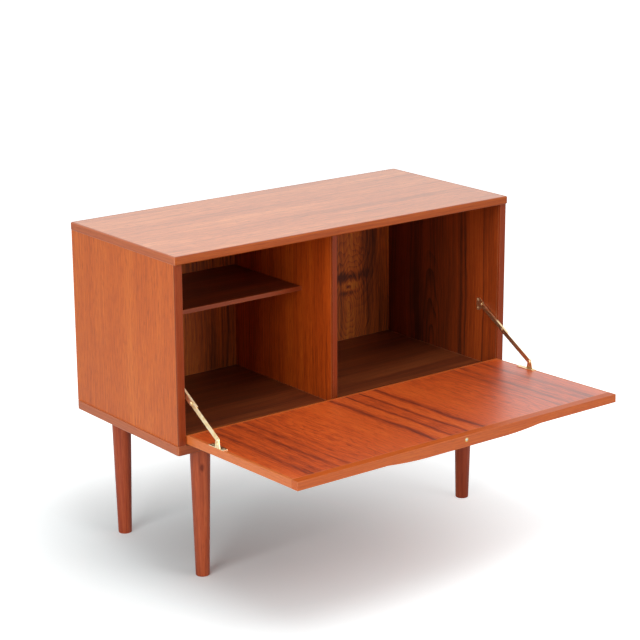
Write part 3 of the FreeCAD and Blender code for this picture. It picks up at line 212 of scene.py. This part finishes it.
def metal(name, tones, roughness):
    """Bare metal with fine marks from front to back that spread its reflections."""
    material, tree = new_material(name)
    place = node(tree, "TexCoord").outputs["Object"]
    stretch = node(tree, "Mapping", place,
                   Scale=(1 / MARK_WIDTH, 1 / MARK_LENGTH, 1 / MARK_WIDTH))
    marks = node(tree, "TexNoise", stretch, Scale=1.0, Detail=2.0)
    tarnish = node(tree, "TexNoise", place, Scale=1 / TARNISH_PATCH, Detail=3.0)
    shade = node(tree, "ValToRGB", tarnish, stops=[
        (0.38, colour(tones[0])), (0.62, colour(tones[1]))])
    gloss = node(tree, "Math", marks, 0.16, roughness - 0.08, operation="MULTIPLY_ADD")
    bump = node(tree, "Bump", Height=marks, Strength=0.08, Distance=0.0002)
    shader = node(tree, "BsdfPrincipled", Base_Color=shade, Metallic=1.0, Roughness=gloss,
                  Normal=bump)
    node(tree, "OutputMaterial", shader)
    return material


# Finishes. The outside is bleached by light to a pale orange; the inside is darker and browner,
# partly less bleached and partly painted shade
PLAN = (0, CARCASS_Y, 0)

# Veneer sliced flat, sanded along the grain and sprayed with a satin lacquer: open straight
# grain with short dark pores, and a broad soft mirror of the studio that pales it
top_teak = teak("flat_sliced_teak_veneer_satin_lacquer_top", ("90481E", "D0743A", "F6A464"),
                "X", "Y", wander_mm=6, bands=(70, 0.6), streaks=(4, 0.8), fibres=(1.8, 0.9),
                dashes=0.60, roughness=0.34, ior=1.5, coat=0.8, seed=1.0)
# Veneer sliced on the quarter, sanded and rubbed with oil: plain, even upright grain, and
# little shine
side_teak = teak("quarter_sliced_teak_veneer_oiled_side", ("9A4010", "C45C18", "DE7E30"),
                 "Z", "Y", wander_mm=5, bands=(70, 0.35), streaks=(3, 0.5), fibres=(1.5, 0.8),
                 dashes=0.50, roughness=0.42, ior=1.45, seed=2.0)
# Crown-cut leaves opened like a book and lacquered: groups of dark late wood stripes that
# repeat about the middle, and the shiniest face, which mirrors the white floor at one end
flap_teak = teak("bookmatched_crown_cut_teak_veneer_lacquered_flap",
                 ("702206", "D05214", "E86E24"), "Y", "X", origin=PLAN, bookmatch=True,
                 wander_mm=5, bands=(60, 0.45), streaks=(4, 0.75), fibres=(1.8, 0.8),
                 dashes=0.65, roughness=0.40, ior=1.6, coat=1.0, seed=3.0,
                 profile=((0, 0.44), (14, 0.46), (20, 0.16), (27, 0.50), (33, 0.66), (54, 0.62),
                          (61, 0.32), (67, 0.12), (75, 0.42), (86, 0.58), (150, 0.64),
                          (190, 0.52), (270, 0.50), (295, 0.52), (302, 0.32), (310, 0.52),
                          (322, 0.46), (330, 0.24), (339, 0.42), (358, 0.48), (376, 0.28),
                          (384, 0.50), (395, 0.24), (404, 0.46), (430, 0.58), (460, 0.58)),
                 cathedrals=((-330, 225, 250, 60, 5, 0.14), (-500, 225, 200, 46, 4, 0.10)))
# A crown-cut leaf, oiled, with thin dark lines: lighter wood at the front, and dark brown
# towards the back, which is painted shade
right_teak = teak("crown_cut_teak_veneer_oiled_right_side", ("3C1A0E", "8A380F", "B4561C"),
                  "Z", "Y", origin=PLAN, wander_mm=6, bands=(70, 0.5), streaks=(5, 0.6),
                  fibres=(1.5, 0.4), dashes=0.30, roughness=0.42, ior=1.38, seed=4.0,
                  # The broad darkening towards the back is painted shade; the narrow dips are
                  # grain lines
                  profile=((-215, 0.54), (-158, 0.50), (-153, 0.20), (-149, 0.50),
                           (-96, 0.50), (-86, 0.16), (-80, 0.40), (-70, 0.10), (-58, 0.42),
                           (-20, 0.38), (10, 0.28), (30, 0.28), (70, 0.24), (88, 0.10),
                           (110, 0.18), (150, 0.30), (215, 0.24)),
                  cathedrals=((330, 40, 180, 30, 3, 0.26),))
# The same veneer inside, kept from the light: a deeper red-brown, partly less bleached wood and
# partly painted shade of the inside
inner_teak = teak("quarter_sliced_teak_veneer_oiled_divider", ("521C06", "AC440C", "CC6418"),
                  "Z", "Y", origin=PLAN, wander_mm=5, bands=(60, 0.7), streaks=(4, 0.9),
                  fibres=(1.8, 0.6), dashes=0.50, roughness=0.42, ior=1.4, seed=5.0)
# Veneer of darker heartwood, oiled and worn by what stood on it: brown, with soft streaks; part
# of its darkness is painted shade of the inside
floor_teak = teak("flat_sliced_teak_veneer_oiled_floor", ("30140C", "6A3116", "945228"),
                  "X", "Y", origin=PLAN, wander_mm=5, bands=(50, 0.6), streaks=(5, 0.9),
                  fibres=(1.4, 0.4), dashes=0.30, roughness=0.42, seed=6.0)
# Veneer peeled round the log onto thin ply and left matt: wide wavy bands, and rings around
# a knot with a dark lens and a lighter core
back_teak = teak("rotary_peeled_teak_ply_matt_back", ("5E280E", "CA641E", "E68C2C"), "Z", "X",
                 origin=PLAN, wander_mm=6, bands=(60, 1.1), streaks=(6, 0.9),
                 fibres=(1.7, 0.5), dashes=0.45, roughness=0.50, seed=7.0,
                 cathedrals=((410, 322, 150, 58, 9, 0.26), (600, 350, 150, 60, 5, 0.18),
                             (496, 316, 24, 110, 0, 0.42), (472, 322, 22, 62, 0, -0.30),
                             (470, 322, 10, 16, 0, 0.60), (454, 320, 12, 44, 0, 0.36)))
# Strips of solid teak, planed and glued to the board's edge: finer grain along the strip, and
# arrises made pale partly by rubbing hands and partly by a painted highlight
STRIP = {"wander_mm": 2, "bands": (20, 0.3), "streaks": (2.5, 0.5), "fibres": (1.0, 0.4),
         "dashes": 0.25}
edge_long = teak("planed_solid_teak_strip_long_edge", ("722E0A", "9E4610", "C46A28"), "X", "Z",
                 roughness=0.40, ior=1.33, seed=8.0, **STRIP)
edge_deep = teak("planed_solid_teak_strip_end", ("8A3A1C", "B05A30", "CC7848"), "Y", "Z",
                 seed=9.0, **STRIP)
edge_upright = teak("planed_solid_teak_strip_upright", ("5E2008", "86320C", "A04A1A"), "Z", "X",
                    roughness=0.42, ior=1.28, seed=10.0, **STRIP)
shelf_edge = teak("planed_solid_teak_strip_shelf", ("6A2A10", "984418", "B05E2C"), "X", "Z",
                  roughness=0.45, ior=1.4, seed=10.5, **STRIP)
# The flap's rails and ends, shaped from solid teak and lacquered with it: a little lighter
# than the strips of the carcass, with a soft shine
FLAP_STRIP = {"wander_mm": 3, "bands": (25, 0.3), "streaks": (3, 0.5), "fibres": (1.1, 0.4),
              "dashes": 0.25}
rail_teak = teak("shaped_solid_teak_rail_lacquered", ("8C3E0C", "BE5414", "DA7828"), "X", "Z",
                 roughness=0.42, ior=1.4, coat=0.1, seed=11.0, **FLAP_STRIP)
flap_edge = teak("planed_solid_teak_strip_flap_end", ("9A4418", "CC6A30", "E28648"), "Y", "Z",
                 seed=12.0, **FLAP_STRIP)
# Legs turned on a lathe and sanded as they spun: redder wood, cut through its rings, so that
# bands run up the taper
LEG = {"bands": (26, 0.8), "streaks": (5, 0.7), "fibres": (1.4, 0.4), "dashes": 0.30,
       "roughness": 0.42, "ior": 1.36}
leg_teak = teak("lathe_turned_solid_teak_leg", ("64200E", "9E4020", "BE6036"), "Z", "X",
                seed=13.0, **LEG)
# The front left leg has a small dark pin knot on its outer side, below the carcass
leg_low, leg_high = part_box("front_left_leg")
knotted_leg_teak = teak("lathe_turned_solid_teak_leg_with_knot", ("70280F", "AA4C26", "C86C3E"),
                        "Z", "X", origin=((leg_low.x + leg_high.x) / 2, leg_low.y, leg_low.z),
                        wander_mm=2, cathedrals=((261, -9, 16, 7, 0, 0.50),), seed=13.5,
                        **LEG)
# Dowels milled from beech and left bare: pale, fine and matt
beech = teak("milled_beech_dowel", ("AA8858", "CCA878", "E0C090"), "Z", "X", wander_mm=1,
             streaks=(2, 0.5), dashes=0.2, roughness=0.55, seed=14.0)
# Strip brass, stamped and buffed bright: nearly white where it mirrors the studio
stay_brass = metal("stamped_buffed_brass_stay", ("FFECC4", "F4D29A"), 0.34)
# Rolled brass as it left the mill, dulled by age: a deeper yellow
hinge_brass = metal("rolled_aged_brass", ("DDB868", "BE9648"), 0.30)
# Screw heads turned with a dome: each shows a small soft light
screw_brass = metal("turned_domed_brass_screw", ("FFF0CC", "F0DCA8"), 0.55)
# Steel turned or drawn, then zinc plated: grey, with a soft shine
zinc = metal("zinc_plated_steel", ("D2D6D6", "AEB2B4"), 0.30)

FINISHES = {
    "top_panel": top_teak, "top_front_lipping": edge_long, "top_back_lipping": edge_long,
    "top_left_lipping": edge_deep, "top_right_lipping": edge_deep,
    "bottom_panel": floor_teak, "bottom_front_lipping": shelf_edge,
    "bottom_left_lipping": edge_deep, "bottom_right_lipping": edge_deep,
    "left_side_panel": side_teak, "right_side_panel": right_teak,
    "left_side_front_lipping": edge_upright, "right_side_front_lipping": edge_upright,
    "divider_panel": inner_teak, "divider_lipping": edge_upright,
    "shelf_panel": floor_teak, "shelf_lipping": shelf_edge, "back_panel": back_teak,
    "flap_panel": flap_teak, "flap_top_lipping": rail_teak, "flap_bottom_lipping": rail_teak,
    "flap_left_lipping": flap_edge, "flap_right_lipping": flap_edge,
    "front_left_leg": knotted_leg_teak, "front_right_leg": leg_teak,
    "back_left_leg": leg_teak, "back_right_leg": leg_teak, "carcass_dowels": beech,
    "left_hinge_carcass_leaf": hinge_brass, "right_hinge_carcass_leaf": hinge_brass,
    "left_hinge_flap_leaf": hinge_brass, "right_hinge_flap_leaf": hinge_brass,
    "hinge_carcass_screws": hinge_brass, "hinge_flap_screws": hinge_brass, "hinge_pins": zinc,
    "catch_ball": zinc, "catch_spring": zinc, "catch_barrel": hinge_brass,
    "strike_plate": hinge_brass, "strike_plate_screws": hinge_brass, "leg_studs": zinc,
    "leg_inserts": zinc, "stay_side_screws": screw_brass, "stay_flap_screws": screw_brass,
    "back_panel_screws": zinc, "shelf_pins": zinc,
}
# The stays take what is left: every node that isn't named here is one of their parts
for name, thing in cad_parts.items():
    for slot in thing.material_slots:
        slot.material = FINISHES.get(name, stay_brass)


# Catch spring: steel wire wound from the barrel's floor to the ball, which closes up as the
# ball is pushed in
WIRE_DIAMETER = 0.6 * MM
COIL_DIAMETER = 5 * MM
SPRING_LENGTH = 14 * MM
TURNS = 6
STEPS = TURNS * 32
WIRE_SIDES = 12


def middle(name):
    low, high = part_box(name)
    return (low + high) / 2


low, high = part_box("catch_ball")
axis = (middle("catch_ball") - middle("catch_barrel")).normalized()
front = middle("catch_ball") - axis * (high.x - low.x) / 2
rear = front - axis * SPRING_LENGTH
coil = bmesh.new()
wire = bmesh.ops.create_circle(
    coil, segments=WIRE_SIDES, radius=WIRE_DIAMETER / 2,
    matrix=Matrix.Translation(((COIL_DIAMETER - WIRE_DIAMETER) / 2, 0, WIRE_DIAMETER / 2))
    @ Matrix.Rotation(math.pi / 2, 4, "X"))
bmesh.ops.spin(coil, geom=wire["verts"] + coil.edges[:], cent=(0, 0, 0), axis=(0, 0, 1),
               dvec=(0, 0, (SPRING_LENGTH - WIRE_DIAMETER) / STEPS),
               angle=TURNS * 2 * math.pi, steps=STEPS)
bmesh.ops.holes_fill(coil, edges=coil.edges[:], sides=0)
bmesh.ops.recalc_face_normals(coil, faces=coil.faces[:])
for face in coil.faces:
    face.smooth = True
bmesh.ops.transform(coil, verts=coil.verts[:], matrix=Matrix.Translation(rear)
                    @ axis.to_track_quat("Z", "Y").to_matrix().to_4x4())
spring_mesh = bpy.data.meshes.new("catch_coil_spring")
coil.to_mesh(spring_mesh)
coil.free()
spring_mesh.materials.append(zinc)
spring = bpy.data.objects.new("catch_coil_spring", spring_mesh)
bpy.context.scene.collection.objects.link(spring)
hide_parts("catch_spring")
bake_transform(spring)


# Studio: a white floor and surround, with soft light mostly from the left
FLOOR_SIZE = 30
# Around this point the floor's glow fades out, which paints a broad shade round the lamps'
# shadow; further out it glows to plain white
SHADE_CENTRE = (-0.24, 0.08)
SHADE_RADIUS = 1.05
FLOOR_MIRRORED_SHARE = 0.35
SURROUND_LIGHT = 0.30


def seen_directly(tree, mirrored_share):
    """One for camera rays, a share of that for mirrored and refracted ones, and zero for the
    rays that light the object."""
    paths = node(tree, "LightPath")
    mirrored = node(tree, "Math", paths.outputs["Is Glossy Ray"],
                    paths.outputs["Is Transmission Ray"], operation="MAXIMUM")
    return node(tree, "Math", mirrored, mirrored_share, paths.outputs["Is Camera Ray"],
                operation="MULTIPLY_ADD")


def studio_paper(name, hex_code, near_glow, far_glow):
    """Matt white paper, shown as plain white away from the object. Its glow is weaker where
    the object mirrors it, which keeps a white veil off the front faces."""
    material, tree = new_material(name)
    place = node(tree, "Mapping", node(tree, "TexCoord").outputs["Object"],
                 (-SHADE_CENTRE[0], -SHADE_CENTRE[1], 0))
    away = node(tree, "VectorMath", place, operation="LENGTH")
    # Less glow near the shade centre: painted shade on the floor
    glow = node(tree, "MapRange", away, 0.0, SHADE_RADIUS, near_glow, far_glow,
                interpolation_type="SMOOTHSTEP")
    strength = node(tree, "Math", glow, seen_directly(tree, FLOOR_MIRRORED_SHARE),
                    operation="MULTIPLY")
    paper = node(tree, "BsdfDiffuse", colour(hex_code))
    light = node(tree, "Emission", WHITE, strength)
    node(tree, "OutputMaterial", node(tree, "AddShader", paper, light))
    return material


bpy.ops.mesh.primitive_plane_add(size=FLOOR_SIZE, location=(0, 0, 0))
floor = bpy.context.object
floor.name = "studio_floor"
floor.data.materials.append(studio_paper("white_studio_paper", "DDE4E5", 0.02, 0.90))

world = bpy.data.worlds.new("studio_surround")
bpy.context.scene.world = world
world.use_nodes = True
sky = world.node_tree
sky.nodes.clear()
sky_strength = node(sky, "MapRange", seen_directly(sky, 1.0), 0.0, 1.0, SURROUND_LIGHT, 1.0)
node(sky, "OutputWorld", node(sky, "Background", WHITE, sky_strength))


def softbox(name, place, target, width, height, power):
    """A rectangle of light that faces a target. Sizes are in metres, the power in watts."""
    lamp = bpy.data.lights.new(name, "AREA")
    lamp.shape = "RECTANGLE"
    lamp.size = width
    lamp.size_y = height
    lamp.energy = power
    thing = bpy.data.objects.new(name, lamp)
    bpy.context.scene.collection.objects.link(thing)
    thing.location = place
    thing.rotation_euler = (Vector(target) - Vector(place)).to_track_quat("-Z", "Y").to_euler()


softbox("left_softbox", (-3.4, -1.2, 1.6), (0, 0.05, 0.5), 2.0, 2.6, 84)
softbox("top_softbox", (-0.4, -1.0, 3.4), (0, 0, 0.5), 1.8, 1.6, 54)
softbox("front_softbox", (1.6, -3.6, 1.3), (0, 0, 0.5), 2.2, 1.8, 42)

# Camera at the photograph's place, fitted to the straight edges of the cabinet. Its offsets
# from the middle of the carcass are to the right, up and backwards, in metres
FOCAL_PIXELS = 1968.22
FRAME_PIXELS = 640
SENSOR_MM = 36
FAR_CLIP = 60
AZIMUTH = math.radians(-37.7016)
ELEVATION = math.radians(16.0184)
ROLL = math.radians(-0.2799)
CAMERA_OFFSETS = (0.05506, 0.46750, 4.75689)
backwards = Vector((math.sin(AZIMUTH) * math.cos(ELEVATION),
                    -math.cos(AZIMUTH) * math.cos(ELEVATION), math.sin(ELEVATION)))
level_right = Vector((math.cos(AZIMUTH), math.sin(AZIMUTH), 0))
level_up = backwards.cross(level_right)
right = level_right * math.cos(ROLL) + level_up * math.sin(ROLL)
up = level_up * math.cos(ROLL) - level_right * math.sin(ROLL)
spot = (right * CAMERA_OFFSETS[0] + up * CAMERA_OFFSETS[1] + backwards * CAMERA_OFFSETS[2]
        + Vector((0, CARCASS_Y, 0)))
camera_data = bpy.data.cameras.new("photo_camera")
camera_data.sensor_width = SENSOR_MM
camera_data.lens = FOCAL_PIXELS / FRAME_PIXELS * SENSOR_MM
camera_data.clip_end = FAR_CLIP
camera = bpy.data.objects.new("photo_camera", camera_data)
camera.matrix_world = Matrix((
    (right.x, up.x, backwards.x, spot.x), (right.y, up.y, backwards.y, spot.y),
    (right.z, up.z, backwards.z, spot.z), (0, 0, 0, 1)))
bpy.context.scene.collection.objects.link(camera)
bpy.context.scene.camera = camera
bpy.context.scene.view_settings.view_transform = "Standard"
